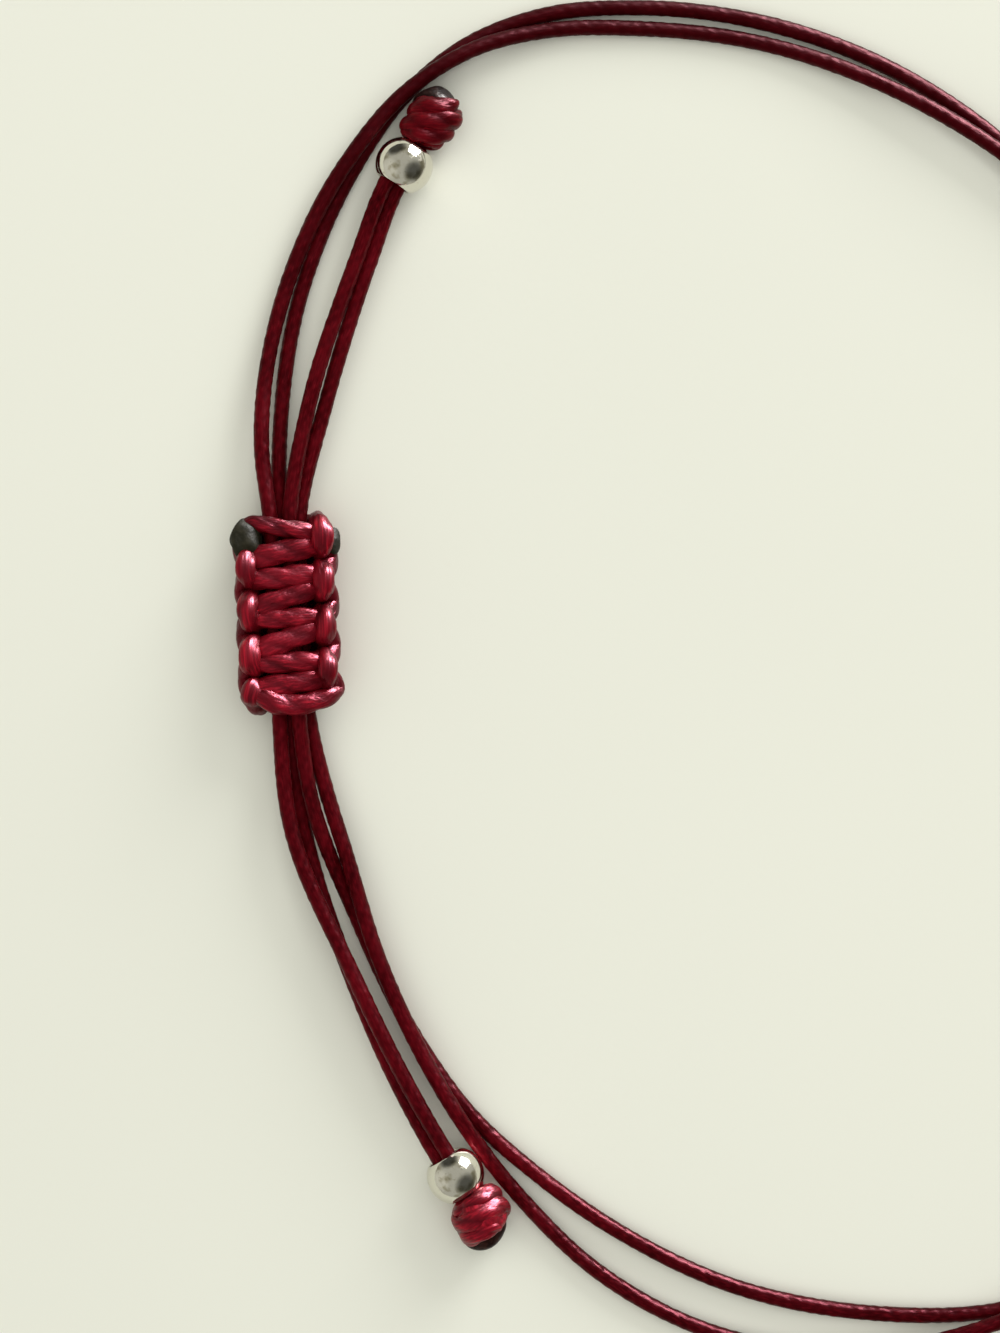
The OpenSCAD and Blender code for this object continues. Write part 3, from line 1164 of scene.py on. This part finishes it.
@dataclass
class Studio:
    """Floor, lights and camera: seen from straight above, lit by a low window at the upper right.

    The eye is the camera's place and the frame is the height of floor that it sees, in metres.
    """

    eye: Vector = (-0.01594, 0.00084, 0.25)
    frame_height: float = 0.0833
    focus_height: float = 0.0005
    floor_side: float = 6.0
    sky: float = 0.52
    lights: tuple[SoftLight, ...] = (
        SoftLight("window", turn=58.0, rise=23.0, away=0.6, size=0.30, power=1.9),
        SoftLight("window_gleam", turn=58.0, rise=15.0, away=0.6, size=0.33, power=46.0,
                  use=LightUse.GLEAM),
        SoftLight("ceiling", turn=0.0, rise=90.0, away=0.7, size=1.6, power=5.5,
                  use=LightUse.MATT),
    )
    patches: tuple[RoomPatch, ...] = (
        RoomPatch(turn=-35.0, rise=38.0, outer=0.66, inner=0.96, change=-0.80),
        RoomPatch(turn=115.0, rise=14.0, outer=0.80, inner=0.97, change=-0.85),
        RoomPatch(turn=195.0, rise=25.0, outer=0.70, inner=0.98, change=0.35),
    )

    def camera(self) -> None:
        """Sets the camera over the photograph's middle, looking straight down."""
        data = bpy.data.cameras.new("overhead")
        data.lens = data.sensor_width * (self.eye[2] - self.focus_height) / self.frame_height
        data.clip_start, data.clip_end = 0.01, 20.0
        camera = linked("overhead", data)
        camera.location = self.eye
        bpy.context.scene.camera = camera

    def floor(self) -> None:
        """Builds the floor, one square."""
        side = self.floor_side / 2
        corners = [(-side, -side, 0.0), (side, -side, 0.0), (side, side, 0.0), (-side, side, 0.0)]
        mesh = bpy.data.meshes.new("floor")
        mesh.from_pydata(corners, [], [(0, 1, 2, 3)])
        mesh.materials.append(PaleFloor().make())
        linked("floor", mesh)

    def surroundings(self) -> None:
        """Builds the light from all round: a pale room with soft clouds and patches."""
        world = bpy.data.worlds.new("studio")
        g = Graph(world, "Background", "OutputWorld")
        sky = g.add("TexCoord", {}, {}, "Generated")
        clouds = g.noise(sky, 1.7, 2.0).eased(0.42, 0.75)
        light = 1.05 - clouds * 0.6
        for patch in self.patches:
            light = patch.over(light, sky)
        g.set(Color=g.blend(clouds, rgb(0.94, 0.93, 0.84), rgb(0.90, 0.84, 0.60)),
              Strength=light * self.sky)
        bpy.context.scene.world = world

    def build(self) -> None:
        """Builds the floor, the lights, the surrounding light and the camera."""
        self.floor()
        for light in self.lights:
            light.build()
        self.surroundings()
        bpy.context.scene.view_settings.view_transform = "Standard"
        self.camera()


def main() -> None:
    """Builds the studio and every piece of the bracelet, cords first."""
    Studio().build()
    cord_finish = WaxedCord(
        "waxed_cord", shade=rgb(0.026, 0.0005, 0.0012), body=rgb(0.105, 0.0018, 0.0050),
        bright=rgb(0.21, 0.008, 0.015), roughness=0.30, gloss=0.075, filament_depth=0.08 * MM,
        lower_shade=0.6).make()
    knot_finish = WaxedCord(
        "knot_cord", shade=rgb(0.038, 0.0006, 0.0018), body=rgb(0.19, 0.0024, 0.0090),
        bright=rgb(0.48, 0.009, 0.024), roughness=0.36, gloss=0.46, filament_depth=0.18 * MM,
        wear_and_painted_highlight=0.8).make()
    # Painted shade: the upper end knot's cord is painted darker than the lower one's, as the band is along
    # its upper part
    upper_end_painted_shade_finish = WaxedCord(
        "end_cord_painted_shade", shade=rgb(0.026, 0.0005, 0.0012), body=rgb(0.115, 0.0016, 0.0050),
        bright=rgb(0.28, 0.005, 0.011), roughness=0.38, gloss=0.11,
        filament_depth=0.16 * MM).make()
    olive = MeltedTip("melted_olive", dark=rgb(0.016, 0.015, 0.008),
                      brown=rgb(0.036, 0.032, 0.019), roughness=0.6, gloss=0.10).make()
    brown = MeltedTip("melted_brown", dark=rgb(0.009, 0.002, 0.0015),
                      brown=rgb(0.036, 0.011, 0.007), roughness=0.36, gloss=0.09).make()
    for cord in (LongCord("first_cord", FIRST_ROUTE, 0.7), LongCord("second_cord", SECOND_ROUTE, 2.9)):
        cord.build(cord_finish)
    SlidingKnot().build(knot_finish, olive)
    silver = PolishedSilver().make()
    for tail in Tail:
        DrilledBead(tail).build(silver)
    # The upper cap reaches left past the melt into the shadow between the band and the knot, so part of
    # its dark is painted shade
    EndKnot(Tail.UPPER, Lump((-0.2, 3.95, -0.3), (1.5, 1.45, 1.1), seed=70.0, depth=0.07),
            start=70.0, hand=-1, turns=1.3, advance=1.95, slant=0.3, coil=1.18, half_width=0.68,
            half_depth=0.45, reach=3.25, rounding=0.2).build(upper_end_painted_shade_finish, brown)
    EndKnot(Tail.LOWER, Lump((0.4, 3.6, -0.3), (1.5, 1.42, 1.15), seed=100.0, depth=0.07),
            start=100.0, hand=1, turns=1.2, advance=1.85, slant=0.15, coil=1.42, half_width=0.64,
            half_depth=0.46, reach=2.85, rounding=0.33).build(knot_finish, brown)


if __name__ == "__main__":
    logging.basicConfig(level=logging.INFO)
    main()
